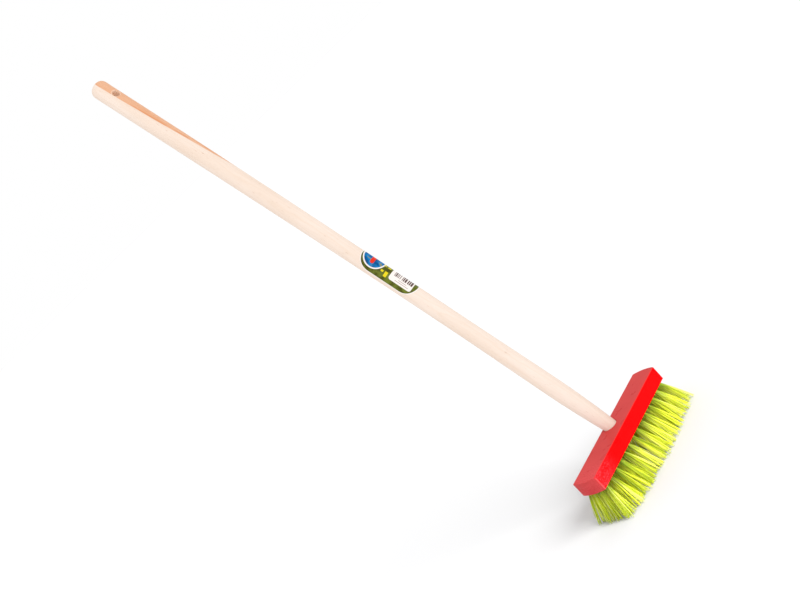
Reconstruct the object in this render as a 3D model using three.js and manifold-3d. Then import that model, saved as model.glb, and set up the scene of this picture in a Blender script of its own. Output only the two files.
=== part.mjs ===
// A small push broom: a turned wooden handle held in a slanted socket in a painted wooden block,
// with tufts of plastic bristle set in blind holes under the block and a sticker round the handle.
// Millimetres, +Z up. X runs along the block, and the handle leans towards +Y.
// The broom is built around the middle of the bristle tips, then moved so that the base of its
// bounding box is centred on the origin.

import * as THREE from 'three';
import { mergeVertices } from 'three/addons/utils/BufferGeometryUtils.js';
import Module from 'manifold-3d';

const wasm = await Module();
wasm.setup();

// Block
const BLOCK_LENGTH = 202;
const BLOCK_WIDTH = 40;
const BLOCK_THICKNESS = 20;
const END_BULGE = 3.5; // how far each short end bows out
const TOP_EDGE_RADIUS = 3;
const BOTTOM_EDGE_RADIUS = 1;
const END_CORNER_RADIUS = 2; // the upright corners, where the long sides meet the ends

// Handle
const HANDLE_LENGTH = 800;
const END_RADIUS = 8.5; // at the bottom of the socket
const SHOULDER_RADIUS = 12; // where the taper into the socket begins
const SHOULDER_HEIGHT = 95; // above the bottom of the socket, as the next two heights are
const WAIST_RADIUS = 11.3; // the thinnest place above the shoulder
const WAIST_HEIGHT = 230;
const SWELL_RADIUS = 12.5; // the thickest place, kept from here to the tip
const SWELL_HEIGHT = 720;
const BOW = new THREE.Vector2(1.85, -1.45); // how far the handle bends out halfway, across its frame
const HANDLE_TILT = THREE.MathUtils.degToRad(21);
const TIP_ROUNDING = 9;
const SOCKET_DEPTH = 12.5; // along the handle
const HANGING_HOLE_RADIUS = 5;
const HANGING_HOLE_FROM_TIP = 32;
const HANGING_HOLE_CHAMFER = 1;

// Tufts
const BRISTLE_LENGTH = 45; // below the block
const TUFT_ROWS = [-14.5, -5, 5, 14.5]; // where each row lies across the block
const TUFTS_PER_ROW = 14;
const ROW_END_MARGIN = 10; // from the last tuft's middle to the block's bowed end
const HOLE_DEPTH = 8;
const TUFT_RADIUS = 2.5;
const TIP_HALF_WIDTH = 6.4; // along the block
const TIP_HALF_DEPTH = 7.6; // across the block
const ROW_SPREAD = [-32, -10.5, 10.5, 32]; // where each row's tips lie across the block
const END_SPREAD = 12; // how far the last tuft in a row leans out along the block
const END_SPREAD_POWER = 4; // how late along the row the leaning starts
const CORNER_PULL = 0.25; // share of the spread across the block that the end tufts lose

// Sticker
const STICKER_LENGTH = 86;
const STICKER_WIDTH = 40; // measured round the handle
const STICKER_THICKNESS = 0.3;
const STICKER_FROM_TIP = 454; // to the sticker's middle
const STICKER_ANGLE = THREE.MathUtils.degToRad(-73); // about the handle, from +X

const GAP = 0.3; // between touching pieces
const OVERCUT = 5; // how far a cutter runs past the face that it opens
const HANDLE_SIDES = 40;
const HOLE_SIDES = 24;
const TUFT_SIDES = 10;
const EDGE_STEPS = 5; // in each rounded long edge of the block
const PLAN_STEPS = 12; // in each curve of the block's outline
const SAME_POINT = 1e-4; // vertices nearer than this are one

const UNDERSIDE = BRISTLE_LENGTH;
const BLOCK_TOP = UNDERSIDE + BLOCK_THICKNESS;
const SOCKET_MOUTH = BLOCK_THICKNESS / Math.cos(HANDLE_TILT); // along the handle from the underside
const HANDLE_BOTTOM = SOCKET_MOUTH - SOCKET_DEPTH + GAP;
const HANDLE_TIP = HANDLE_BOTTOM + HANDLE_LENGTH;
const END_ARC_RADIUS = (BLOCK_WIDTH ** 2 / 4 + END_BULGE ** 2) / (2 * END_BULGE);

const materials = {
  wood: new THREE.MeshStandardMaterial({ color: 0xf2dcc6, roughness: 0.6, metalness: 0 }),
  redPaint: new THREE.MeshStandardMaterial({ color: 0xd8101c, roughness: 0.35, metalness: 0 }),
  bristle: new THREE.MeshStandardMaterial({ color: 0xc8dc28, roughness: 0.45, metalness: 0 }),
  sticker: new THREE.MeshStandardMaterial({ color: 0x66752c, roughness: 0.4, metalness: 0 }),
};

// Solids and meshes

function toSolid(geometry) {
  const bare = geometry.clone();
  bare.deleteAttribute('normal');
  bare.deleteAttribute('uv');
  const merged = mergeVertices(bare, SAME_POINT);
  const mesh = new wasm.Mesh({
    numProp: 3,
    vertProperties: new Float32Array(merged.attributes.position.array),
    triVerts: new Uint32Array(merged.index.array),
  });
  return new wasm.Manifold(mesh);
}

function toGeometry(solid) {
  const mesh = solid.getMesh();
  const geometry = new THREE.BufferGeometry();
  geometry.setAttribute('position', new THREE.BufferAttribute(mesh.vertProperties, mesh.numProp));
  geometry.setIndex(new THREE.BufferAttribute(mesh.triVerts, 1));
  geometry.computeVertexNormals();
  return geometry;
}

function namedMesh(name, geometry, material) {
  const mesh = new THREE.Mesh(geometry, material);
  mesh.name = name;
  return mesh;
}

// A closed skin over a stack of rings that all have the same number of points, in the same order.
function loft(rings) {
  const sides = rings[0].length;
  const vertices = rings.flat().flatMap((point) => point.toArray());
  const triangles = [];
  for (let ring = 0; ring < rings.length - 1; ring += 1) {
    for (let side = 0; side < sides; side += 1) {
      const a = ring * sides + side;
      const b = ring * sides + ((side + 1) % sides);
      triangles.push(a, b, b + sides, a, b + sides, a + sides);
    }
  }
  const last = (rings.length - 1) * sides;
  for (let side = 1; side < sides - 1; side += 1) {
    triangles.push(0, side + 1, side);
    triangles.push(last, last + side, last + side + 1);
  }
  const geometry = new THREE.BufferGeometry();
  geometry.setAttribute('position', new THREE.Float32BufferAttribute(vertices, 3));
  geometry.setIndex(triangles);
  geometry.computeVertexNormals();
  return geometry;
}

// Block

function blockProfile() {
  const quarter = Math.PI / 2;
  const low = UNDERSIDE + BOTTOM_EDGE_RADIUS;
  const lowHalf = BLOCK_WIDTH / 2 - BOTTOM_EDGE_RADIUS;
  const high = BLOCK_TOP - TOP_EDGE_RADIUS;
  const highHalf = BLOCK_WIDTH / 2 - TOP_EDGE_RADIUS;
  const shape = new THREE.Shape();
  shape.absarc(lowHalf, low, BOTTOM_EDGE_RADIUS, -quarter, 0);
  shape.absarc(highHalf, high, TOP_EDGE_RADIUS, 0, quarter);
  shape.absarc(-highHalf, high, TOP_EDGE_RADIUS, quarter, 2 * quarter);
  shape.absarc(-lowHalf, low, BOTTOM_EDGE_RADIUS, 2 * quarter, 3 * quarter);
  return shape;
}

// How far from the middle the bowed end lies, at a place across the block.
function endAt(across) {
  return BLOCK_LENGTH / 2 - END_ARC_RADIUS + Math.sqrt(END_ARC_RADIUS ** 2 - across ** 2);
}

// One corner of the plan and the bowed end after it, going round the block.
function addBowedEnd(shape, end, half) {
  const corner = endAt(half);
  const inner = half - END_CORNER_RADIUS;
  const sweep = Math.asin(inner / END_ARC_RADIUS);
  const middle = end * (BLOCK_LENGTH / 2 - END_ARC_RADIUS);
  const facing = end > 0 ? 0 : Math.PI;
  shape.lineTo(end * (corner - END_CORNER_RADIUS), -end * half);
  shape.quadraticCurveTo(end * corner, -end * half, end * endAt(inner), -end * inner);
  shape.absarc(middle, 0, END_ARC_RADIUS, facing - sweep, facing + sweep);
  shape.quadraticCurveTo(end * corner, end * half, end * (corner - END_CORNER_RADIUS), end * half);
}

function blockPlan() {
  const half = BLOCK_WIDTH / 2;
  const shape = new THREE.Shape();
  shape.moveTo(0, -half);
  addBowedEnd(shape, 1, half);
  addBowedEnd(shape, -1, half);
  shape.closePath();
  return shape;
}

function blockBlank() {
  const profile = new THREE.ExtrudeGeometry(blockProfile(), {
    depth: BLOCK_LENGTH,
    bevelEnabled: false,
    curveSegments: EDGE_STEPS,
  });
  profile.translate(0, 0, -BLOCK_LENGTH / 2);
  // The profile is drawn with the block's width and height as x and y, and stands along the block.
  profile.applyMatrix4(new THREE.Matrix4().makeBasis(
    new THREE.Vector3(0, 1, 0),
    new THREE.Vector3(0, 0, 1),
    new THREE.Vector3(1, 0, 0),
  ));
  const plan = new THREE.ExtrudeGeometry(blockPlan(), {
    depth: BLOCK_THICKNESS + 2 * OVERCUT,
    bevelEnabled: false,
    curveSegments: PLAN_STEPS,
  });
  plan.translate(0, 0, UNDERSIDE - OVERCUT);
  return toSolid(profile).intersect(toSolid(plan));
}

function socketCutter() {
  const bottom = HANDLE_BOTTOM - GAP;
  const top = SOCKET_MOUTH + 4 * OVERCUT;
  const profile = [
    new THREE.Vector2(0, bottom),
    new THREE.Vector2(handleRadiusAt(HANDLE_BOTTOM) + GAP, bottom),
    new THREE.Vector2(handleRadiusAt(SOCKET_MOUTH) + GAP, SOCKET_MOUTH),
    new THREE.Vector2(handleRadiusAt(top) + GAP, top),
    new THREE.Vector2(0, top),
  ];
  const geometry = alongZ(new THREE.LatheGeometry(profile, HANDLE_SIDES));
  geometry.applyMatrix4(handleFrame().matrix);
  return toSolid(geometry);
}

function tuftHoleCutter(tuft) {
  const radius = TUFT_RADIUS + GAP;
  const depth = HOLE_DEPTH + OVERCUT;
  const geometry = new THREE.CylinderGeometry(radius, radius, depth, TUFT_SIDES);
  geometry.rotateX(Math.PI / 2);
  geometry.rotateZ(-Math.PI / 2); // a corner towards +X, as on the tuft
  geometry.translate(tuft.root.x, tuft.root.y, UNDERSIDE + HOLE_DEPTH - depth / 2);
  return toSolid(geometry);
}

function makeBlock(tufts) {
  let solid = blockBlank().subtract(socketCutter());
  for (const tuft of tufts) {
    solid = solid.subtract(tuftHoleCutter(tuft));
  }
  return namedMesh('block', toGeometry(solid), materials.redPaint);
}

// Handle. Its own frame has +Z along the handle from the middle of the block's underside.

function handleFrame() {
  const frame = new THREE.Group();
  frame.position.set(0, 0, UNDERSIDE);
  frame.rotation.x = -HANDLE_TILT;
  frame.updateMatrix();
  return frame;
}

// LatheGeometry turns about Y, so its result is stood up along Z.
function alongZ(geometry) {
  return geometry.rotateX(Math.PI / 2);
}

// The radius eases from the end of the handle over the shoulder and the waist to the swell.
function handleRadiusAt(height) {
  const above = height - HANDLE_BOTTOM;
  const { clamp, lerp, smoothstep } = THREE.MathUtils;
  const taper = Math.sin(clamp(above / SHOULDER_HEIGHT, 0, 1) * Math.PI / 2);
  const toWaist = smoothstep(above, SHOULDER_HEIGHT, WAIST_HEIGHT);
  const toSwell = smoothstep(above, WAIST_HEIGHT, SWELL_HEIGHT);
  return lerp(END_RADIUS, SHOULDER_RADIUS, taper)
    + (WAIST_RADIUS - SHOULDER_RADIUS) * toWaist
    + (SWELL_RADIUS - WAIST_RADIUS) * toSwell;
}

function spread(low, high, steps) {
  return Array.from({ length: steps }, (_, step) => low + (high - low) * step / steps);
}

function handleProfile() {
  const shoulder = HANDLE_BOTTOM + SHOULDER_HEIGHT;
  const waist = HANDLE_BOTTOM + WAIST_HEIGHT;
  const roundingStart = HANDLE_TIP - TIP_ROUNDING;
  const heights = [
    ...spread(HANDLE_BOTTOM, shoulder, 8),
    ...spread(shoulder, waist, 5),
    ...spread(waist, roundingStart, 12),
  ];
  const points = heights.map((height) => new THREE.Vector2(handleRadiusAt(height), height));
  const roundingSteps = 6;
  for (let step = 0; step <= roundingSteps; step += 1) {
    const angle = Math.PI / 2 * step / roundingSteps;
    const radius = SWELL_RADIUS - TIP_ROUNDING * (1 - Math.cos(angle));
    points.push(new THREE.Vector2(radius, roundingStart + TIP_ROUNDING * Math.sin(angle)));
  }
  return [new THREE.Vector2(0, HANDLE_BOTTOM), ...points, new THREE.Vector2(0, HANDLE_TIP)];
}

// Bends a straight geometry with the handle, which is straight only in its socket.
function bowed(geometry) {
  const position = geometry.attributes.position;
  for (let i = 0; i < position.count; i += 1) {
    const share = (position.getZ(i) - SOCKET_MOUTH) / (HANDLE_TIP - SOCKET_MOUTH);
    const bend = Math.sin(THREE.MathUtils.clamp(share, 0, 1) * Math.PI);
    position.setX(i, position.getX(i) + BOW.x * bend);
    position.setY(i, position.getY(i) + BOW.y * bend);
  }
  return geometry;
}

// A bar across the handle, from front to back, that widens at each mouth of the hanging hole.
function hangingHoleCutter() {
  const wide = HANGING_HOLE_RADIUS + HANGING_HOLE_CHAMFER + OVERCUT;
  const neck = SWELL_RADIUS - HANGING_HOLE_CHAMFER;
  const profile = [
    new THREE.Vector2(0, -neck - wide + HANGING_HOLE_RADIUS),
    new THREE.Vector2(wide, -neck - wide + HANGING_HOLE_RADIUS),
    new THREE.Vector2(HANGING_HOLE_RADIUS, -neck),
    new THREE.Vector2(HANGING_HOLE_RADIUS, neck),
    new THREE.Vector2(wide, neck + wide - HANGING_HOLE_RADIUS),
    new THREE.Vector2(0, neck + wide - HANGING_HOLE_RADIUS),
  ];
  const geometry = new THREE.LatheGeometry(profile, HOLE_SIDES);
  geometry.translate(0, 0, HANDLE_TIP - HANGING_HOLE_FROM_TIP);
  return toSolid(geometry);
}

function makeHandle() {
  const dowel = alongZ(new THREE.LatheGeometry(handleProfile(), HANDLE_SIDES));
  const drilled = toSolid(dowel).subtract(hangingHoleCutter());
  return namedMesh('handle', bowed(toGeometry(drilled)), materials.wood);
}

// Sticker: a rounded strip of thin film, bent round the handle.

function stickerHalfWidthAt(along) {
  const endRadius = STICKER_WIDTH / 2;
  const intoEnd = Math.max(0, Math.abs(along) - (STICKER_LENGTH / 2 - endRadius));
  return Math.sqrt(Math.max(0, endRadius ** 2 - intoEnd ** 2));
}

// Distances along the sticker where it is cut, closer together towards its rounded ends.
function stickerStations() {
  const endRadius = STICKER_WIDTH / 2;
  const straight = STICKER_LENGTH / 2 - endRadius;
  const endSteps = 9;
  const upper = [];
  for (let step = 0; step < endSteps; step += 1) {
    upper.push(straight + endRadius * Math.sin(Math.PI / 2 * step / endSteps));
  }
  return [...upper.map((along) => -along).reverse(), ...upper];
}

function stickerRing(along) {
  const arcSteps = 12;
  const height = HANDLE_TIP - STICKER_FROM_TIP + along;
  const radiusHere = handleRadiusAt(height);
  const halfAngle = stickerHalfWidthAt(along) / radiusHere;
  const inner = radiusHere + GAP;
  const ring = [];
  for (const [radius, way] of [[inner, -1], [inner + STICKER_THICKNESS, 1]]) {
    for (let step = 0; step <= arcSteps; step += 1) {
      const angle = STICKER_ANGLE + way * halfAngle * (2 * step / arcSteps - 1);
      ring.push(new THREE.Vector3(radius * Math.cos(angle), radius * Math.sin(angle), height));
    }
  }
  return ring;
}

function makeSticker() {
  const geometry = bowed(stripLoft(stickerStations().map(stickerRing)));
  return namedMesh('sticker', geometry, materials.sticker);
}

// A loft whose end caps are strips between the ring's inner and outer arcs, because a bent ring
// isn't convex.
function stripLoft(rings) {
  const geometry = loft(rings);
  const sides = rings[0].length;
  const skin = Array.from(geometry.index.array).slice(0, (rings.length - 1) * sides * 6);
  const last = (rings.length - 1) * sides;
  for (let step = 0; step < sides / 2 - 1; step += 1) {
    const far = sides - 1 - step;
    skin.push(step, far, far - 1, step, far - 1, step + 1);
    skin.push(last + step, last + far - 1, last + far, last + step, last + step + 1, last + far - 1);
  }
  geometry.setIndex(skin);
  geometry.computeVertexNormals();
  return geometry;
}

// Tufts

// Where every tuft is rooted in the underside, and where the middle of its tips lies. The socket
// needs the room of the tufts whose holes would come too near to it.
function layOutTufts() {
  const tufts = [];
  const socketRadius = END_RADIUS + 2 * GAP + TUFT_RADIUS;
  TUFT_ROWS.forEach((across, row) => {
    const rowHalf = endAt(across) - ROW_END_MARGIN;
    for (let index = 0; index < TUFTS_PER_ROW; index += 1) {
      const share = 2 * index / (TUFTS_PER_ROW - 1) - 1;
      const atEnd = Math.abs(share) ** END_SPREAD_POWER;
      const root = new THREE.Vector3(share * rowHalf, across, UNDERSIDE);
      const lean = Math.sign(share) * END_SPREAD * atEnd;
      const tip = new THREE.Vector3(root.x + lean, ROW_SPREAD[row] * (1 - CORNER_PULL * atEnd), 0);
      if (Math.hypot(root.x, root.y) > socketRadius) {
        tufts.push({ name: `tuft_row${row + 1}_${String(index + 1).padStart(2, '0')}`, root, tip });
      }
    }
  });
  return tufts;
}

function tuftRing(centre, halfWidth, halfDepth) {
  const ring = [];
  for (let side = 0; side < TUFT_SIDES; side += 1) {
    const angle = 2 * Math.PI * side / TUFT_SIDES;
    const x = centre.x + halfWidth * Math.cos(angle);
    const y = centre.y + halfDepth * Math.sin(angle);
    ring.push(new THREE.Vector3(x, y, centre.z));
  }
  return ring;
}

function makeTuft({ name, root, tip }) {
  const inHole = new THREE.Vector3(root.x, root.y, UNDERSIDE + HOLE_DEPTH - GAP);
  const geometry = loft([
    tuftRing(tip, TIP_HALF_WIDTH, TIP_HALF_DEPTH),
    tuftRing(root, TUFT_RADIUS, TUFT_RADIUS),
    tuftRing(inHole, TUFT_RADIUS, TUFT_RADIUS),
  ]);
  return namedMesh(name, geometry, materials.bristle);
}

// The whole broom

const tufts = layOutTufts();
const handleGroup = handleFrame();
handleGroup.add(makeHandle(), makeSticker());

const broom = new THREE.Group();
broom.add(makeBlock(tufts), handleGroup, ...tufts.map(makeTuft));

const box = new THREE.Box3().setFromObject(broom, true);
const centre = box.getCenter(new THREE.Vector3());
broom.position.set(-centre.x, -centre.y, -box.min.z);

const group = new THREE.Group();
group.add(broom);

export default group;
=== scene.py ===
import math
import random

import bpy
from mathutils import Matrix, Vector


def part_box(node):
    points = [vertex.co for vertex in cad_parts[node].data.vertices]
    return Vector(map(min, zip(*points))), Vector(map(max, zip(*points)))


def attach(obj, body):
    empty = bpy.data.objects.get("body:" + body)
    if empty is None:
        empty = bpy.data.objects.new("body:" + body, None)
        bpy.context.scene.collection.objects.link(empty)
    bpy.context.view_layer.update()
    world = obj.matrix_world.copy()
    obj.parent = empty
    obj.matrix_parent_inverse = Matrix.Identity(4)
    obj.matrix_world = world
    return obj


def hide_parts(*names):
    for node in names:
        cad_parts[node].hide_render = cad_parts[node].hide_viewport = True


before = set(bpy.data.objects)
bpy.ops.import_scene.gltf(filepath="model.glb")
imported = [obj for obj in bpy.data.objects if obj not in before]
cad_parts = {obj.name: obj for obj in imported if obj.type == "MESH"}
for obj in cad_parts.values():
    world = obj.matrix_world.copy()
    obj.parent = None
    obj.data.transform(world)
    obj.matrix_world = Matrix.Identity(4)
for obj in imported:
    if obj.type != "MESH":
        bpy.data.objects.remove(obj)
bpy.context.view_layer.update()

# A small push broom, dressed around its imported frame. Metres and radians, unless a name says more.

MM = 0.001
SEED = 20

# Camera: where it looks, relative to the middle of the block's footprint, and from which way.
CAMERA_TARGET = Vector((-0.002, 0.1348, 0.3425))
CAMERA_AZIMUTH = math.radians(-38.54)  # 0 looks along +Y
CAMERA_ELEVATION = math.radians(11.45)
CAMERA_ROLL = math.radians(43.64)
CAMERA_DISTANCE = 1.5184
CAMERA_LENS_MM = 53.71
SENSOR_MM = 36.0

# Lights, in degrees: where each stands, as for the camera, and how wide it is. The share is how
# much it adds to white surroundings of strength 1.
FRONT_LIGHT = {"azimuth": -28, "elevation": 20, "width": 30, "share": 0.19}
SIDE_LIGHT = {"azimuth": 105, "elevation": 50, "width": 30, "share": 0.04}
# This one lights only the block and the bristles.
HEAD_LIGHT = {"azimuth": 12, "elevation": 6, "width": 20, "share": 1.15}
# This one lights only the floor, so that the broom's shadow shows on a floor that looks white.
FLOOR_LIGHT = {"azimuth": 2, "elevation": 32, "width": 34, "share": 1.4}

# Handle
HANDLE_TILT = math.radians(21)
HANDLE_LENGTH = 800 * MM
END_RADIUS = 8.5 * MM
SHOULDER_RADIUS = 12 * MM
SHOULDER_HEIGHT = 95 * MM  # above the handle's bottom end, as the next two heights are
WAIST_RADIUS = 11.3 * MM
WAIST_HEIGHT = 230 * MM
SWELL_RADIUS = 12.5 * MM
SWELL_HEIGHT = 720 * MM
BOW = Vector((1.85, -1.45, 0)) * MM  # how far the handle bends out halfway
SOCKET_DEPTH = 12.5 * MM
HOLE_FROM_TIP = 32 * MM
HOLE_RADIUS = 5 * MM
HOLE_WEAR = 2 * MM  # how deep the hook has worn each mouth of the hole
CUTTER_REACH = 4 * MM  # how far the hole's cutter goes on past the wood
TIP_ROUNDING = 9 * MM
HANDLE_SIDES = 96

# Heartwood: a slanting plane through the dowel, with the darker wood on its far side.
HEARTWOOD_ANGLE = math.radians(-50)  # which way the plane faces, about the handle
HEARTWOOD_OFFSET = 4.2 * MM  # from the handle's axis, at its tip
HEARTWOOD_SLOPE = 0.0477

# Block
BLOCK_END_BULGE = 3.5 * MM
TOP_EDGE_RADIUS = 3 * MM
BOTTOM_EDGE_RADIUS = 1 * MM
END_CORNER_RADIUS = 2 * MM
SOFT_EDGE = 0.45 * MM
HOLE_DEPTH = 8 * MM
GAP = 0.3 * MM
SOCKET_SLACK = 0.7 * MM  # between the handle and the rim of its socket

# Bristles
FILAMENTS_PER_TUFT = 46
CLUMPS_PER_TUFT = 15  # strands that cling together towards their tips
CLUMP_LOOSENESS = 0.5  # 0 brings a strand's tips to one point, 1 leaves them apart
CLUMP_WANDER = 1.7 * MM
TIP_WANDER = 0.5 * MM
TIP_GATHER = 0.985  # tip distances along the block over those of the CAD tufts
TIP_SWAY = 1.5 * MM  # how far all the tips are swept along the block
TIP_FLARE = 1.12  # tip spread over that of the CAD tuft
STRAY_SHARE = 0.05
STRAY_WANDER = 3.5 * MM
RAGGED_TIPS = 1.9 * MM
FILAMENT_RADIUS = 0.45 * MM
FILAMENT_BEND = 0.06  # how high the filaments bow, over their height
BEND_WANDER = 0.5 * MM
FILAMENT_THINNING = 0.25  # how much of the radius a tube has lost at its end
FILAMENT_SIDES = 5
FILAMENT_STEPS = 6
CLUMP_SHADE_SHARE = 0.7  # the rest of each filament's shade is its own
GOLDEN_ANGLE = math.pi * (3 - math.sqrt(5))

# Staples over the folds of the tufts
STAPLE_WIRE = 0.45 * MM
STAPLE_HEIGHT = 3.2 * MM
STAPLE_CORNER = 0.5 * MM
STAPLE_ABOVE_FOLD = 1.6 * MM

# Sticker
STICKER_LENGTH = 86 * MM
STICKER_WIDTH = 40 * MM
STICKER_FILM = 0.12 * MM
STICKER_LIFT = 0.03 * MM  # between the wood and the film
STICKER_FROM_TIP = 454 * MM
STICKER_ANGLE = math.radians(-73)

# Places read from the frame
block_low, block_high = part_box("block")
block_middle = (block_low + block_high) / 2
foot = Vector((block_middle.x, block_middle.y, block_low.z))
socket_mouth = (block_high.z - block_low.z) / math.cos(HANDLE_TILT)
handle_bottom = socket_mouth - SOCKET_DEPTH + GAP
handle_tip = handle_bottom + HANDLE_LENGTH
handle_frame = Matrix.Translation(foot) @ Matrix.Rotation(-HANDLE_TILT, 4, "X")


# Meshes


def mesh_object(name, vertices, faces):
    mesh = bpy.data.meshes.new(name)
    mesh.from_pydata([tuple(v) for v in vertices], [], faces)
    mesh.update()
    piece = bpy.data.objects.new(name, mesh)
    bpy.context.scene.collection.objects.link(piece)
    return piece


def loft(name, rings):
    """A closed skin over rings that all have the same number of points."""
    sides = len(rings[0])
    faces = [tuple(reversed(range(sides)))]
    for ring in range(len(rings) - 1):
        for side in range(sides):
            a = ring * sides + side
            b = ring * sides + (side + 1) % sides
            faces.append((a, b, b + sides, a + sides))
    last = (len(rings) - 1) * sides
    faces.append(tuple(last + side for side in range(sides)))
    return mesh_object(name, [v for ring in rings for v in ring], faces)


def circle(radius, height, sides):
    turn = 2 * math.pi / sides
    return [
        Vector((radius * math.cos(i * turn), radius * math.sin(i * turn), height))
        for i in range(sides)
    ]


def lathe(name, profile, sides):
    """A closed solid turned about Z from (radius, height) pairs, lowest first."""
    return loft(name, [circle(radius, height, sides) for radius, height in profile])


def apply_modifiers(piece):
    depsgraph = bpy.context.evaluated_depsgraph_get()
    mesh = bpy.data.meshes.new_from_object(piece.evaluated_get(depsgraph))
    piece.modifiers.clear()
    piece.data = mesh
    return piece


def boolean(piece, operation, tool):
    """Cuts piece by tool, or keeps what they share, and removes tool."""
    modifier = piece.modifiers.new("cut", "BOOLEAN")
    modifier.operation = operation
    modifier.solver = "EXACT"
    modifier.object = tool
    apply_modifiers(piece)
    bpy.data.objects.remove(tool)
    return piece


def join(pieces):
    """One object that holds the meshes of all of them."""
    vertices, faces = [], []
    for piece in pieces:
        start = len(vertices)
        vertices += [piece.matrix_basis @ v.co for v in piece.data.vertices]
        faces += [tuple(start + i for i in p.vertices) for p in piece.data.polygons]
        bpy.data.objects.remove(piece)
    return mesh_object("joined", vertices, faces)


def soften(piece, width, sharper_than):
    modifier = piece.modifiers.new("soft_edges", "BEVEL")
    modifier.width = width
    modifier.segments = 3
    modifier.limit_method = "ANGLE"
    modifier.angle_limit = sharper_than
    modifier.use_clamp_overlap = True
    return apply_modifiers(piece)


def keep_flat(piece):
    """Stops the shading of the rounded edges from spreading over the flat faces beside them."""
    modifier = piece.modifiers.new("keep_flat", "WEIGHTED_NORMAL")
    modifier.keep_sharp = True
    return apply_modifiers(piece)


def smooth(piece, sharper_than=math.radians(35)):
    piece.data.shade_smooth()
    piece.data.set_sharp_from_angle(angle=sharper_than)
    return piece


def dress(piece, material, slot, *nodes):
    """Gives a piece its material and its body, and hides the CAD nodes that it stands for. Its slot
    is not used.
    """
    piece.data.materials.clear()
    piece.data.materials.append(material)
    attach(piece, "root")
    if nodes:
        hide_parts(*nodes)
    return piece


# Materials


class Graph:
    """Short names for building one node tree."""

    def __init__(self, tree):
        self.tree = tree

    def add(self, kind, inputs=None, **settings):
        node = self.tree.nodes.new(kind)
        for key, value in settings.items():
            setattr(node, key, value)
        for key, value in (inputs or {}).items():
            if isinstance(value, bpy.types.NodeSocket):
                self.tree.links.new(value, node.inputs[key])
            else:
                node.inputs[key].default_value = value
        return node

    def math(self, operation, a, b=0.0):
        return self.add("ShaderNodeMath", {0: a, 1: b}, operation=operation).outputs[0]

    def vector(self, operation, a, b):
        node = self.add("ShaderNodeVectorMath", {0: a, 1: b}, operation=operation)
        return node.outputs["Value" if operation == "DOT_PRODUCT" else "Vector"]

    def noise(self, place, scale, detail=2.0):
        inputs = {"Vector": place, "Scale": scale, "Detail": detail}
        return self.add("ShaderNodeTexNoise", inputs).outputs["Fac"]

    def stretch(self, place, scale):
        return self.vector("MULTIPLY", place, scale)

    def between(self, value, low, high, to_low=0.0, to_high=1.0):
        """Eases from to_low to to_high as value goes from low to high."""
        inputs = {
            "Value": value,
            "From Min": low,
            "From Max": high,
            "To Min": to_low,
            "To Max": to_high,
        }
        node = self.add("ShaderNodeMapRange", inputs, interpolation_type="SMOOTHSTEP")
        return node.outputs["Result"]

    def mix(self, share, a, b):
        node = self.add("ShaderNodeMix", data_type="RGBA")
        for socket, value in zip((0, 6, 7), (share, a, b), strict=True):
            if isinstance(value, bpy.types.NodeSocket):
                self.tree.links.new(value, node.inputs[socket])
            else:
                node.inputs[socket].default_value = value
        return node.outputs[2]

    def bump(self, height, strength, distance):
        inputs = {"Height": height, "Strength": strength, "Distance": distance}
        return self.add("ShaderNodeBump", inputs).outputs["Normal"]


def colour(red, green, blue):
    """A colour from its 0 to 255 screen values."""

    def linear(value):
        share = value / 255
        return share / 12.92 if share <= 0.04045 else ((share + 0.055) / 1.055) ** 2.4

    return (linear(red), linear(green), linear(blue), 1.0)


def new_material(name, constants):
    """A material with one Principled shader, whose sockets in constants hold plain values."""
    material = bpy.data.materials.new(name)
    material.use_nodes = True
    shader = material.node_tree.nodes["Principled BSDF"]
    for key, value in constants.items():
        shader.inputs[key].default_value = value
    return material, Graph(material.node_tree), shader


def place_in(graph, matrix):
    """The object's coordinates as seen from a frame that matrix places."""
    inputs = {
        "Vector": graph.add("ShaderNodeTexCoord").outputs["Object"],
        "Location": matrix.to_translation(),
        "Rotation": matrix.to_euler(),
    }
    return graph.add("ShaderNodeMapping", inputs, vector_type="TEXTURE").outputs["Vector"]


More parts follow.
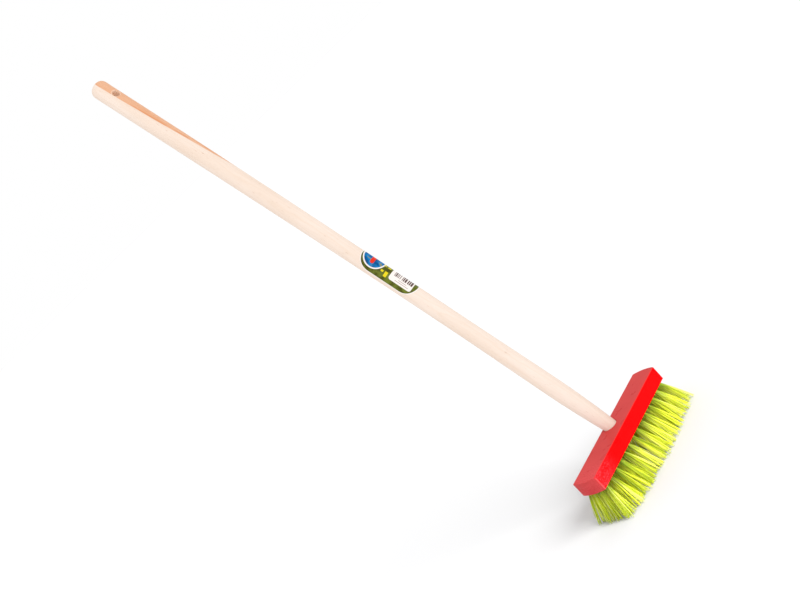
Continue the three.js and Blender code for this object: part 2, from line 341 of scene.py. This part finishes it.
def handle_wood():
    material, graph, shader = new_material("handle_wood", {"Specular IOR Level": 0.2})
    place = place_in(graph, handle_frame)

    # Growth lines run along the handle: bands across it that wander a little on the way.
    wander = graph.noise(graph.stretch(place, (20, 20, 6)), 1.0, detail=3)
    across = graph.vector("DOT_PRODUCT", place, (0.8, 0.6, 0.01))
    bands = graph.math("ADD", graph.math("MULTIPLY", across, 330), graph.math("MULTIPLY", wander, 5))
    lines = graph.math("PINGPONG", bands, 0.5)
    late_wood = graph.between(lines, 0.3, 0.5)
    fibre = graph.noise(graph.stretch(place, (2600, 2600, 60)), 1.0, detail=3)
    blotch = graph.noise(graph.stretch(place, (60, 60, 9)), 1.0, detail=3)

    pale = graph.mix(graph.between(blotch, 0.35, 0.7), colour(238, 221, 208), colour(233, 213, 197))
    pale = graph.mix(graph.math("MULTIPLY", late_wood, 0.3), pale, colour(228, 205, 184))
    pale = graph.mix(graph.between(fibre, 0.45, 0.75, 0.0, 0.3), pale, colour(224, 196, 172))

    # The heartwood streak, which is darkest here and there along its edge.
    facing = (math.cos(HEARTWOOD_ANGLE), math.sin(HEARTWOOD_ANGLE), HEARTWOOD_SLOPE)
    depth = graph.vector("DOT_PRODUCT", place, facing)
    edge = HEARTWOOD_OFFSET + HEARTWOOD_SLOPE * handle_tip
    ragged = graph.math("MULTIPLY", graph.math("SUBTRACT", blotch, 0.5), 1.6 * MM)
    into = graph.math("ADD", graph.math("SUBTRACT", depth, edge), ragged)
    heart = graph.between(into, -0.5 * MM, 0.5 * MM)
    orange = graph.mix(graph.between(fibre, 0.3, 0.7), colour(230, 182, 148), colour(220, 164, 126))
    orange = graph.mix(graph.between(blotch, 0.5, 0.75, 0.0, 0.7), orange, colour(218, 150, 104))
    stripe = graph.math("MULTIPLY", heart, graph.between(into, 1 * MM, 2 * MM, 1.0, 0.0))
    patchy = graph.noise(graph.stretch(place, (30, 30, 22)), 1.0, detail=2)
    stripe = graph.math("MULTIPLY", stripe, graph.between(patchy, 0.45, 0.6, 0.0, 0.8))
    orange = graph.mix(stripe, orange, colour(214, 142, 96))
    wood = graph.mix(heart, pale, orange)

    # Small dark flecks, lying along the grain.
    fleck = graph.noise(graph.stretch(place, (900, 900, 120)), 1.0, detail=1)
    wood = graph.mix(graph.between(fleck, 0.7, 0.78, 0.0, 0.3), wood, colour(172, 122, 84))

    # The hook has rubbed the mouths of the hanging hole pale. The same pale colour over the wall
    # inside the hole is painted light, lifting the shade in there.
    hole = graph.vector("SUBTRACT", place, (0, 0, handle_tip - HOLE_FROM_TIP))
    hole = graph.vector("MULTIPLY", hole, (1, 0, 1))
    from_hole = graph.add("ShaderNodeVectorMath", {0: hole}, operation="LENGTH").outputs["Value"]
    worn = HOLE_RADIUS + HOLE_WEAR
    pale_patch = graph.between(from_hole, HOLE_RADIUS, worn, 0.8, 0.0)
    wood = graph.mix(pale_patch, wood, colour(244, 214, 190))

    graph.tree.links.new(wood, shader.inputs["Base Color"])
    rough = graph.between(fibre, 0.3, 0.7, 0.5, 0.68)
    graph.tree.links.new(rough, shader.inputs["Roughness"])
    graph.tree.links.new(graph.bump(fibre, 0.25, 0.15 * MM), shader.inputs["Normal"])
    return material


def red_paint():
    material, graph, shader = new_material("red_paint", {"Specular IOR Level": 0.03})
    place = graph.add("ShaderNodeTexCoord").outputs["Object"]

    # The grain of the wood shows faintly through the paint, along the block.
    grain = graph.noise(graph.stretch(place, (35, 700, 700)), 1.0, detail=3)
    brush = graph.noise(graph.stretch(place, (60, 1500, 1500)), 1.0, detail=2)
    cloud = graph.noise(place, 45.0, detail=3)
    paint = graph.mix(graph.between(grain, 0.35, 0.7), colour(222, 1, 3), colour(212, 0, 2))
    paint = graph.mix(graph.between(brush, 0.66, 0.78, 0.0, 0.2), paint, colour(226, 14, 18))

    # Painted light: the top is painted duller and pinker, standing for its sheen, and the ends are
    # painted darker, standing for their shade.
    facing = graph.add("ShaderNodeNewGeometry").outputs["Normal"]
    facing = graph.add("ShaderNodeSeparateXYZ", {0: facing}).outputs
    up = graph.between(facing["Z"], 0.8, 0.99)
    end = graph.between(graph.math("ABSOLUTE", facing["X"]), 0.6, 0.95)
    painted_top_light = graph.mix(graph.between(cloud, 0.3, 0.7), colour(194, 58, 57), colour(199, 64, 62))
    painted_end_shade = graph.mix(graph.between(cloud, 0.3, 0.7), colour(184, 56, 55), colour(190, 64, 62))
    paint = graph.mix(up, paint, painted_top_light)
    paint = graph.mix(end, paint, painted_end_shade)

    # Painted highlights: a pale line down the upright corners, and fine pale specks of sheen towards
    # the -X end.
    local = graph.vector("SUBTRACT", place, block_middle)
    reach = graph.vector("ABSOLUTE", local, (0, 0, 0))
    corner = (block_high - block_low) / 2 - Vector((BLOCK_END_BULGE, 0, 0))
    flat = graph.vector("MULTIPLY", graph.vector("SUBTRACT", reach, corner), (1, 1, 0))
    off = graph.add("ShaderNodeVectorMath", {0: flat}, operation="LENGTH").outputs["Value"]
    pale_patch = graph.math(
        "MULTIPLY",
        graph.between(off, 0.3 * MM, 1.1 * MM, 0.45, 0.0),
        graph.between(cloud, 0.3, 0.55, 0.2, 1.0),
    )
    paint = graph.mix(pale_patch, paint, colour(240, 160, 162))
    along = graph.add("ShaderNodeSeparateXYZ", {0: local}).outputs["X"]
    sheen_speck = graph.noise(graph.stretch(place, (500, 2200, 2200)), 1.0, detail=1)
    painted_sheen_specks = graph.math(
        "MULTIPLY",
        graph.between(sheen_speck, 0.45, 0.7, 0.0, 0.45),
        graph.between(along, -0.95 * corner.x, -0.5 * corner.x, 1.0, 0.0),
    )
    paint = graph.mix(painted_sheen_specks, paint, colour(255, 100, 112))

    graph.tree.links.new(paint, shader.inputs["Base Color"])
    rough = graph.between(cloud, 0.3, 0.7, 0.26, 0.36)
    graph.tree.links.new(rough, shader.inputs["Roughness"])
    graph.tree.links.new(graph.bump(grain, 0.04, 0.05 * MM), shader.inputs["Normal"])
    return material


def lime_filament():
    material, graph, shader = new_material("lime_filament", {"Specular IOR Level": 0.2})
    shade = graph.add("ShaderNodeAttribute", attribute_name="shade").outputs["Fac"]
    place = graph.add("ShaderNodeTexCoord").outputs["Object"]
    parts = graph.add("ShaderNodeSeparateXYZ", {0: place}).outputs
    streak = graph.noise(graph.stretch(place, (1800, 1800, 90)), 1.0, detail=2)

    lime = graph.mix(graph.between(shade, 0.0, 0.4), colour(128, 158, 0), colour(230, 240, 44))
    lime = graph.mix(graph.between(shade, 0.5, 1.0), lime, colour(255, 255, 150))
    lime = graph.mix(graph.between(streak, 0.5, 0.75, 0.0, 0.4), lime, colour(255, 252, 150))
    # Painted shade: the tufts at the -X end of the block are darker and greener.
    end = graph.between(parts["X"], 1.02 * block_low.x, 0.86 * block_low.x, 0.55, 0.0)
    lime = graph.mix(end, lime, colour(150, 176, 0))
    # Painted shade: the filaments darken towards the block, where shade falls between them.
    root = graph.between(parts["Z"], 0.5 * block_low.z, block_low.z, 0.0, 0.8)
    lime = graph.mix(root, lime, colour(78, 120, 0))
    graph.tree.links.new(lime, shader.inputs["Base Color"])
    rough = graph.between(streak, 0.3, 0.7, 0.3, 0.42)
    graph.tree.links.new(rough, shader.inputs["Roughness"])
    graph.tree.links.new(graph.bump(streak, 0.1, 0.05 * MM), shader.inputs["Normal"])
    return material


def staple_steel():
    constants = {"Metallic": 1.0, "Specular IOR Level": 0.5}
    material, graph, shader = new_material("staple_steel", constants)
    place = graph.add("ShaderNodeTexCoord").outputs["Object"]
    drawn = graph.noise(graph.stretch(place, (400, 3000, 3000)), 1.0, detail=2)
    steel = graph.mix(drawn, colour(150, 152, 156), colour(196, 198, 202))
    graph.tree.links.new(steel, shader.inputs["Base Color"])
    graph.tree.links.new(graph.between(drawn, 0.3, 0.7, 0.25, 0.4), shader.inputs["Roughness"])
    return material


def box_mask(graph, along, around, centre, half, radius):
    """1 inside a rounded rectangle on the sticker and 0 outside it; all sizes are in metres."""
    gaps = []
    for value, middle, reach in zip((along, around), centre, half, strict=True):
        distance = graph.math("ABSOLUTE", graph.math("SUBTRACT", value, middle))
        gaps.append(graph.math("SUBTRACT", distance, reach - radius))
    outside = [graph.math("MAXIMUM", gap, 0.0) for gap in gaps]
    squares = [graph.math("MULTIPLY", value, value) for value in outside]
    far = graph.math("SQRT", graph.math("ADD", *squares))
    near = graph.math("MINIMUM", graph.math("MAXIMUM", *gaps), 0.0)
    signed = graph.math("SUBTRACT", graph.math("ADD", far, near), radius)
    return graph.between(signed, -0.12 * MM, 0.12 * MM, 1.0, 0.0)


def dashes(graph, along, around, centre, half, pitch, gaps):
    """A row of plain dashes across the sticker, with some of them missing."""
    step = graph.math("FLOOR", graph.math("DIVIDE", around, pitch))
    chance = graph.add("ShaderNodeTexWhiteNoise", {"W": step}, noise_dimensions="1D")
    kept = graph.math("GREATER_THAN", chance.outputs["Value"], gaps)
    row = box_mask(graph, along, around, centre, half, 0.8 * MM)
    return graph.math("MULTIPLY", kept, row)


def sticker_print():
    """A generic print: a spot, rows of dashes and a panel of stripes, with no lettering."""
    material, graph, shader = new_material("sticker_print", {"Specular IOR Level": 0.1})
    place = graph.add("ShaderNodeUVMap", uv_map="print").outputs["UV"]
    parts = graph.add("ShaderNodeSeparateXYZ", {0: place}).outputs
    along = graph.math("MULTIPLY", parts["X"], STICKER_LENGTH)
    around = graph.math("MULTIPLY", parts["Y"], STICKER_WIDTH)
    mottle = graph.noise(graph.stretch(place, (9, 5, 1)), 1.0, detail=4)

    def in_metres(pair):
        return [value * MM for value in pair]

    def box(centre, half, radius):
        return box_mask(graph, along, around, in_metres(centre), in_metres(half), radius * MM)

    def row(centre, half, pitch, gaps):
        sizes = in_metres(centre), in_metres(half), pitch * MM
        return dashes(graph, along, around, *sizes, gaps)

    # From here on, places and sizes are in millimetres from the sticker's middle.
    border = 1.2
    inner = [size / 2 / MM - border for size in (STICKER_LENGTH, STICKER_WIDTH)]
    white = colour(240, 232, 227)
    olive = graph.mix(graph.between(mottle, 0.35, 0.65), colour(108, 118, 42), colour(70, 70, 14))
    print_ = graph.mix(box((0, 0), inner, inner[1]), white, olive)

    spot = (24.5, 2.5)
    blue = graph.mix(graph.between(mottle, 0.4, 0.6), colour(0, 72, 130), colour(0, 120, 184))
    blue = graph.mix(graph.between(mottle, 0.6, 0.66, 0.0, 0.7), blue, colour(150, 140, 40))
    print_ = graph.mix(box(spot, (16.3, 16.3), 16.3), print_, white)
    print_ = graph.mix(box(spot, (14.6, 14.6), 14.6), print_, blue)
    print_ = graph.mix(box((25.0, 2.5), (2.6, 10.5), 2.6), print_, colour(226, 50, 26))

    yellow = colour(226, 206, 24)
    print_ = graph.mix(row((7.8, -0.8), (1.8, 8.7), 1.7, 0.3), print_, yellow)
    print_ = graph.mix(row((1.6, -2.8), (2.1, 10.6), 2.1, 0.25), print_, yellow)

    print_ = graph.mix(box((-19.8, 2.5), (16.4, 14.8), 3.0), print_, white)
    step = graph.math("FLOOR", graph.math("DIVIDE", along, 0.8 * MM))
    chance = graph.add("ShaderNodeTexWhiteNoise", {"W": step}, noise_dimensions="1D")
    dark = graph.math("GREATER_THAN", chance.outputs["Value"], 0.4)
    stripes = graph.math("MULTIPLY", dark, box((-21.2, 2.0), (13.4, 6.8), 0.3))
    print_ = graph.mix(stripes, print_, colour(92, 70, 66))
    for offset, reach in ((-7.2, 6.0), (-9.6, 10.0)):
        line = box((-22.0, offset), (reach, 0.35), 0.3)
        print_ = graph.mix(graph.math("MULTIPLY", line, 0.7), print_, colour(110, 84, 74))

    graph.tree.links.new(print_, shader.inputs["Base Color"])
    graph.tree.links.new(graph.between(mottle, 0.3, 0.7, 0.3, 0.38), shader.inputs["Roughness"])
    graph.tree.links.new(graph.bump(mottle, 0.08, 0.05 * MM), shader.inputs["Normal"])
    return material


# Handle


def eased(value, low, high):
    """0 below low, 1 above high, and smooth between them."""
    share = min(1.0, max(0.0, (value - low) / (high - low)))
    return share * share * (3 - 2 * share)


def radius_at(height):
    """The handle's radius, from its end over the shoulder and the waist to the swell."""
    above = height - handle_bottom
    taper = math.sin(min(1.0, max(0.0, above / SHOULDER_HEIGHT)) * math.pi / 2)
    return (
        END_RADIUS
        + (SHOULDER_RADIUS - END_RADIUS) * taper
        + (WAIST_RADIUS - SHOULDER_RADIUS) * eased(above, SHOULDER_HEIGHT, WAIST_HEIGHT)
        + (SWELL_RADIUS - WAIST_RADIUS) * eased(above, WAIST_HEIGHT, SWELL_HEIGHT)
    )


def bowed(piece):
    """Bends a straight piece with the handle, in the handle's own frame."""
    for vertex in piece.data.vertices:
        share = (vertex.co.z - socket_mouth) / (handle_tip - socket_mouth)
        vertex.co += BOW * math.sin(math.pi * min(1.0, max(0.0, share)))
    return piece


def handle_profile():
    """(radius, height) pairs: the taper, the long turned part and the rounded tip."""
    shoulder = handle_bottom + SHOULDER_HEIGHT
    rounding = handle_tip - TIP_ROUNDING
    heights = [handle_bottom + SHOULDER_HEIGHT * i / 24 for i in range(24)]
    heights += [shoulder + (rounding - shoulder) * i / 70 for i in range(70)]
    profile = [(radius_at(height), height) for height in heights]
    for i in range(25):
        angle = math.pi / 2 * i / 24
        radius = SWELL_RADIUS - TIP_ROUNDING * (1 - math.cos(angle))
        profile.append((radius, rounding + TIP_ROUNDING * math.sin(angle)))
    return profile


def hole_cutter():
    """A bar across the handle that widens at each worn mouth of the hanging hole."""
    neck = SWELL_RADIUS - HOLE_WEAR
    upper = []
    for i in range(7):
        angle = math.pi / 2 * i / 6
        out = HOLE_WEAR * (1 - math.cos(angle))
        upper.append((HOLE_RADIUS + out, neck + HOLE_WEAR * math.sin(angle)))
    upper.append((HOLE_RADIUS + HOLE_WEAR + CUTTER_REACH, neck + HOLE_WEAR + CUTTER_REACH / 4))
    profile = [(radius, -height) for radius, height in reversed(upper)] + upper
    cutter = lathe("hole_cutter", profile, 64)
    turn = Matrix.Rotation(math.pi / 2, 4, "X")
    cutter.data.transform(Matrix.Translation((0, 0, handle_tip - HOLE_FROM_TIP)) @ turn)
    return cutter


def make_handle():
    dowel = lathe("handle_dowel", handle_profile(), HANDLE_SIDES)
    boolean(dowel, "DIFFERENCE", hole_cutter())
    bowed(dowel).data.transform(handle_frame)
    return dress(smooth(dowel), handle_wood(), "handle_wood", "handle")


# Block


def arc(centre, radius, start, end, steps):
    return [
        Vector((
            centre[0] + radius * math.cos(start + (end - start) * i / steps),
            centre[1] + radius * math.sin(start + (end - start) * i / steps),
        ))
        for i in range(steps + 1)
    ]


def block_profile():
    """The section that runs along the block: across it, and up."""
    quarter = math.pi / 2
    half = (block_high.y - block_low.y) / 2
    low, high = block_low.z, block_high.z
    corners = [
        (1, low + BOTTOM_EDGE_RADIUS, BOTTOM_EDGE_RADIUS, -quarter),
        (1, high - TOP_EDGE_RADIUS, TOP_EDGE_RADIUS, 0),
        (-1, high - TOP_EDGE_RADIUS, TOP_EDGE_RADIUS, quarter),
        (-1, low + BOTTOM_EDGE_RADIUS, BOTTOM_EDGE_RADIUS, 2 * quarter),
    ]
    points = []
    for side, height, radius, start in corners:
        centre = (side * (half - radius), height)
        points += arc(centre, radius, start, start + quarter, 10)
    return points


def end_arc_radius():
    half = (block_high.y - block_low.y) / 2
    return (half**2 + BLOCK_END_BULGE**2) / (2 * BLOCK_END_BULGE)


def block_plan():
    """The outline from above: two straight sides, small corners and two bowed ends."""
    half_length = (block_high.x - block_low.x) / 2
    half_width = (block_high.y - block_low.y) / 2
    radius = end_arc_radius()
    centre = half_length - radius
    inner = half_width - END_CORNER_RADIUS
    sweep = math.asin(inner / radius)
    bow = Vector((centre + radius * math.cos(sweep), inner))
    corner = Vector((centre + math.sqrt(radius**2 - half_width**2), half_width))
    side = corner - Vector((END_CORNER_RADIUS, 0))
    points = []
    for way in (1, -1):
        into = [side, corner, bow]
        curve = [
            (1 - t) ** 2 * into[0] + 2 * t * (1 - t) * into[1] + t**2 * into[2]
            for t in (i / 6 for i in range(6))
        ]
        points += [Vector((way * p.x, -way * p.y)) for p in curve]
        points += [way * p for p in arc((centre, 0), radius, -sweep, sweep, 32)]
        points += [way * p for p in reversed(curve)]
    return points


def socket_cutter():
    top = socket_mouth + 20 * MM
    profile = [
        (radius_at(handle_bottom) + GAP, handle_bottom - GAP),
        (radius_at(socket_mouth) + SOCKET_SLACK, socket_mouth),
        (radius_at(top) + SOCKET_SLACK, top),
    ]
    cutter = lathe("socket_cutter", profile, 64)
    cutter.data.transform(handle_frame)
    return cutter


def tuft_hole_cutter(tuft):
    radius = tuft["root_radius"] + GAP
    profile = [(radius, block_low.z - 5 * MM), (radius, block_low.z + HOLE_DEPTH)]
    cutter = lathe("hole_cutter", profile, 20)
    cutter.data.transform(Matrix.Translation((tuft["root"].x, tuft["root"].y, 0)))
    return cutter


def make_block(tufts):
    half_length = (block_high.x - block_low.x) / 2
    stretch = [-half_length - 1 * MM, half_length + 1 * MM]
    rings = [[Vector((x, p.x, p.y)) for p in block_profile()] for x in stretch]
    block = loft("painted_block", rings)
    heights = [block_low.z - 1 * MM, block_high.z + 1 * MM]
    plan = loft("plan", [[Vector((p.x, p.y, z)) for p in block_plan()] for z in heights])
    boolean(block, "INTERSECT", plan)
    block.data.transform(Matrix.Translation((block_middle.x, block_middle.y, 0)))
    cutters = [tuft_hole_cutter(tuft) for tuft in tufts] + [socket_cutter()]
    boolean(block, "DIFFERENCE", join(cutters))
    soften(block, SOFT_EDGE, math.radians(40))
    return dress(keep_flat(smooth(block)), red_paint(), "block_paint", "block")


# Tufts


def ring_of(node, height):
    """The middle and the half size of a CAD tuft's ring of points at one height."""
    points = [v.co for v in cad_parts[node].data.vertices if abs(v.co.z - height) < 0.1 * MM]
    low = Vector([min(p[axis] for p in points) for axis in range(3)])
    high = Vector([max(p[axis] for p in points) for axis in range(3)])
    return (low + high) / 2, (high - low) / 2


def read_tufts():
    tufts = []
    for node in sorted(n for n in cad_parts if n.startswith("tuft_")):
        low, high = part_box(node)
        tip, spread = ring_of(node, low.z)
        root, root_half = ring_of(node, high.z)
        tufts.append({
            "node": node,
            "tip": tip,
            "spread": spread,
            "root": root,
            "root_radius": root_half.x,
        })
    return tufts


def sunflower(index, count):
    """One of count points spread evenly over a disc of radius 1."""
    turn = index * GOLDEN_ANGLE
    return math.sqrt((index + 0.5) / count) * Vector((math.cos(turn), math.sin(turn)))


def wander(rng, spread):
    return Vector((rng.gauss(0, spread), rng.gauss(0, spread), 0))


def make_clumps(rng):
    return [
        {
            "place": sunflower(index, CLUMPS_PER_TUFT),
            "wander": wander(rng, CLUMP_WANDER),
            "shade": rng.random(),
        }
        for index in range(CLUMPS_PER_TUFT)
    ]


def filament_path(tuft, clump, place, rng):
    """Points from inside the hole down to the tip, nearly straight."""
    root_reach = tuft["root_radius"] - FILAMENT_RADIUS
    start = tuft["root"] + Vector((place.x * root_reach, place.y * root_reach, 0))
    mouth = Vector((start.x, start.y, block_low.z))
    loose = clump["place"].lerp(place, CLUMP_LOOSENESS) * TIP_FLARE
    tip = tuft["tip"] + Vector((loose.x * tuft["spread"].x, loose.y * tuft["spread"].y, 0))
    tip += clump["wander"] + wander(rng, TIP_WANDER)
    tip.x = block_middle.x + TIP_GATHER * (tip.x - block_middle.x) + TIP_SWAY
    if rng.random() < STRAY_SHARE:
        tip += wander(rng, STRAY_WANDER)
    tip.z = FILAMENT_RADIUS + min(rng.expovariate(1 / RAGGED_TIPS), 4 * RAGGED_TIPS)
    bend = mouth.lerp(tip, 0.5) + wander(rng, BEND_WANDER)
    bend.z += FILAMENT_BEND * (mouth.z - tip.z)
    points = [start]
    for step in range(FILAMENT_STEPS + 1):
        t = step / FILAMENT_STEPS
        points.append((1 - t) ** 2 * mouth + 2 * t * (1 - t) * bend + t**2 * tip)
    return points


def tube_rings(points, radius, sides):
    """Rings round a path, each square to it."""
    rings = []
    for i, point in enumerate(points):
        ahead = points[min(i + 1, len(points) - 1)]
        behind = points[max(i - 1, 0)]
        turn = (ahead - behind).to_track_quat("Z", "Y")
        thin = radius * (1 - FILAMENT_THINNING * i / (len(points) - 1))
        rings.append([point + turn @ v for v in circle(thin, 0, sides)])
    return rings


def add_tube(vertices, faces, rings):
    start = len(vertices)
    sides = len(rings[0])
    vertices.extend(v for ring in rings for v in ring)
    for ring in range(len(rings) - 1):
        for side in range(sides):
            a = start + ring * sides + side
            b = start + ring * sides + (side + 1) % sides
            faces.append((a, b, b + sides, a + sides))
    last = start + (len(rings) - 1) * sides
    faces.append(tuple(reversed(range(start, start + sides))))
    faces.append(tuple(range(last, last + sides)))


def make_tuft(tuft, number, material):
    rng = random.Random(SEED * 1000 + number)
    clumps = make_clumps(rng)
    vertices, faces, shades = [], [], []
    for index in range(FILAMENTS_PER_TUFT):
        place = sunflower(index, FILAMENTS_PER_TUFT)
        clump = min(clumps, key=lambda c: (c["place"] - place).length)
        path = filament_path(tuft, clump, place, rng)
        add_tube(vertices, faces, tube_rings(path, FILAMENT_RADIUS, FILAMENT_SIDES))
        own_shade = (1 - CLUMP_SHADE_SHARE) * rng.random()
        shade = CLUMP_SHADE_SHARE * clump["shade"] + own_shade
        shades += [shade] * (len(vertices) - len(shades))
    name = tuft["node"].replace("tuft_", "bristles_")
    bundle = mesh_object(name, vertices, faces)
    layer = bundle.data.attributes.new("shade", "FLOAT", "POINT")
    layer.data.foreach_set("value", shades)
    bundle.data.shade_smooth()
    return dress(bundle, material, "bristle", tuft["node"])


def make_anchors(tufts):
    """The wire staple over the fold of each tuft, at the bottom of its hole."""
    vertices, faces = [], []
    for tuft in tufts:
        half = tuft["root_radius"] - STAPLE_WIRE
        seat = Vector((tuft["root"].x, tuft["root"].y, block_low.z + HOLE_DEPTH - STAPLE_ABOVE_FOLD))
        leg = [
            Vector((-half, 0, STAPLE_HEIGHT)),
            Vector((-half, 0, STAPLE_CORNER)),
            Vector((-half + STAPLE_CORNER, 0, 0)),
        ]
        other_leg = [Vector((-point.x, 0, point.z)) for point in reversed(leg)]
        path = [seat + point for point in leg + other_leg]
        add_tube(vertices, faces, tube_rings(path, STAPLE_WIRE, 8))
    anchors = mesh_object("tuft_anchors", vertices, faces)
    return dress(smooth(anchors), staple_steel(), "bristle")


# Sticker


def make_sticker():
    """A thin rounded strip of film, bent round the handle, with its print laid out flat."""
    across_steps, end_steps, straight_steps = 40, 20, 24
    end = STICKER_WIDTH / 2
    straight = STICKER_LENGTH / 2 - end
    round_end = [straight + end * math.sin(math.pi / 2 * i / end_steps) for i in range(end_steps)]
    middle = [straight * (2 * i / straight_steps - 1) for i in range(1, straight_steps)]
    stations = [-s for s in reversed(round_end)] + middle + round_end
    vertices, places = [], []
    for along in stations:
        height = handle_tip - STICKER_FROM_TIP + along
        inner = radius_at(height) + STICKER_LIFT
        into = max(0.0, abs(along) - straight)
        half = math.sqrt(end**2 - into**2)
        for step in range(across_steps + 1):
            around = half * (2 * step / across_steps - 1)
            angle = STICKER_ANGLE + around / radius_at(height)
            vertices.append(Vector((inner * math.cos(angle), inner * math.sin(angle), height)))
            places.append((along / STICKER_LENGTH, around / STICKER_WIDTH))
    row = across_steps + 1
    faces = [
        (i * row + j, i * row + j + 1, (i + 1) * row + j + 1, (i + 1) * row + j)
        for i in range(len(stations) - 1)
        for j in range(across_steps)
    ]
    sticker = mesh_object("printed_sticker", vertices, faces)
    print_map = sticker.data.uv_layers.new(name="print")
    for loop in sticker.data.loops:
        print_map.data[loop.index].uv = places[loop.vertex_index]
    film = sticker.modifiers.new("film", "SOLIDIFY")
    film.thickness = STICKER_FILM
    film.offset = 1.0
    apply_modifiers(sticker)
    bowed(sticker).data.transform(handle_frame)
    return dress(smooth(sticker), sticker_print(), "sticker_film", "sticker")


# Stage


def way_to(azimuth, elevation):
    """The direction to something that stands at an azimuth (0 is towards -Y) and an elevation."""
    level = math.cos(elevation)
    return Vector((
        math.sin(azimuth) * level,
        -math.cos(azimuth) * level,
        math.sin(elevation),
    ))


def make_camera():
    data = bpy.data.cameras.new("camera")
    data.lens = CAMERA_LENS_MM
    data.sensor_width = SENSOR_MM
    data.clip_end = 100
    camera = bpy.data.objects.new("camera", data)
    bpy.context.scene.collection.objects.link(camera)
    target = Vector((block_middle.x, block_middle.y, 0)) + CAMERA_TARGET
    away = way_to(CAMERA_AZIMUTH, CAMERA_ELEVATION)
    level = away.to_track_quat("Z", "Y").to_matrix().to_4x4()
    roll = Matrix.Rotation(-CAMERA_ROLL, 4, "Z")
    camera.matrix_world = Matrix.Translation(target + away * CAMERA_DISTANCE) @ level @ roll
    bpy.context.scene.camera = camera


def soft_sun(name, light, receivers=()):
    """A wide sun. If receivers are given, it lights only those pieces, but all pieces shade them."""
    data = bpy.data.lights.new(name, "SUN")
    data.angle = math.radians(light["width"])
    data.energy = light["share"] * math.pi
    sun = bpy.data.objects.new(name, data)
    bpy.context.scene.collection.objects.link(sun)
    way = way_to(math.radians(light["azimuth"]), math.radians(light["elevation"]))
    sun.rotation_euler = way.to_track_quat("Z", "Y").to_euler()
    if receivers:
        lit = bpy.data.collections.new(name + "_receivers")
        for piece in receivers:
            lit.objects.link(piece)
        sun.light_linking.receiver_collection = lit


def make_lights(head, floor):
    """White surroundings, two soft lights for everything, one for the head, one for the floor."""
    soft_sun("front_light", FRONT_LIGHT)
    soft_sun("side_light", SIDE_LIGHT)
    soft_sun("head_light", HEAD_LIGHT, head)
    soft_sun("floor_light", FLOOR_LIGHT, [floor])
    world = bpy.data.worlds.new("studio")
    world.use_nodes = True
    background = world.node_tree.nodes["Background"]
    background.inputs["Color"].default_value = (1, 1, 1, 1)
    background.inputs["Strength"].default_value = 1.0
    bpy.context.scene.world = world
    bpy.context.scene.view_settings.view_transform = "Standard"


def make_floor():
    reach = 40
    corners = [(-reach, -reach, 0), (reach, -reach, 0), (reach, reach, 0), (-reach, reach, 0)]
    floor = mesh_object("floor", [Vector(c) for c in corners], [(0, 1, 2, 3)])
    material, graph, shader = new_material("floor_white", {"Specular IOR Level": 0.1})
    place = graph.add("ShaderNodeTexCoord").outputs["Object"]
    tint = graph.mix(graph.noise(place, 3.0), colour(197, 197, 198), colour(199, 199, 199))
    graph.tree.links.new(tint, shader.inputs["Base Color"])
    shader.inputs["Roughness"].default_value = 0.9
    floor.data.materials.append(material)
    return floor


make_camera()
floor = make_floor()

tufts = read_tufts()
make_handle()
filament = lime_filament()
head = [make_block(tufts)]
head += [make_tuft(tuft, number, filament) for number, tuft in enumerate(tufts)]
make_anchors(tufts)
make_sticker()
make_lights(head, floor)
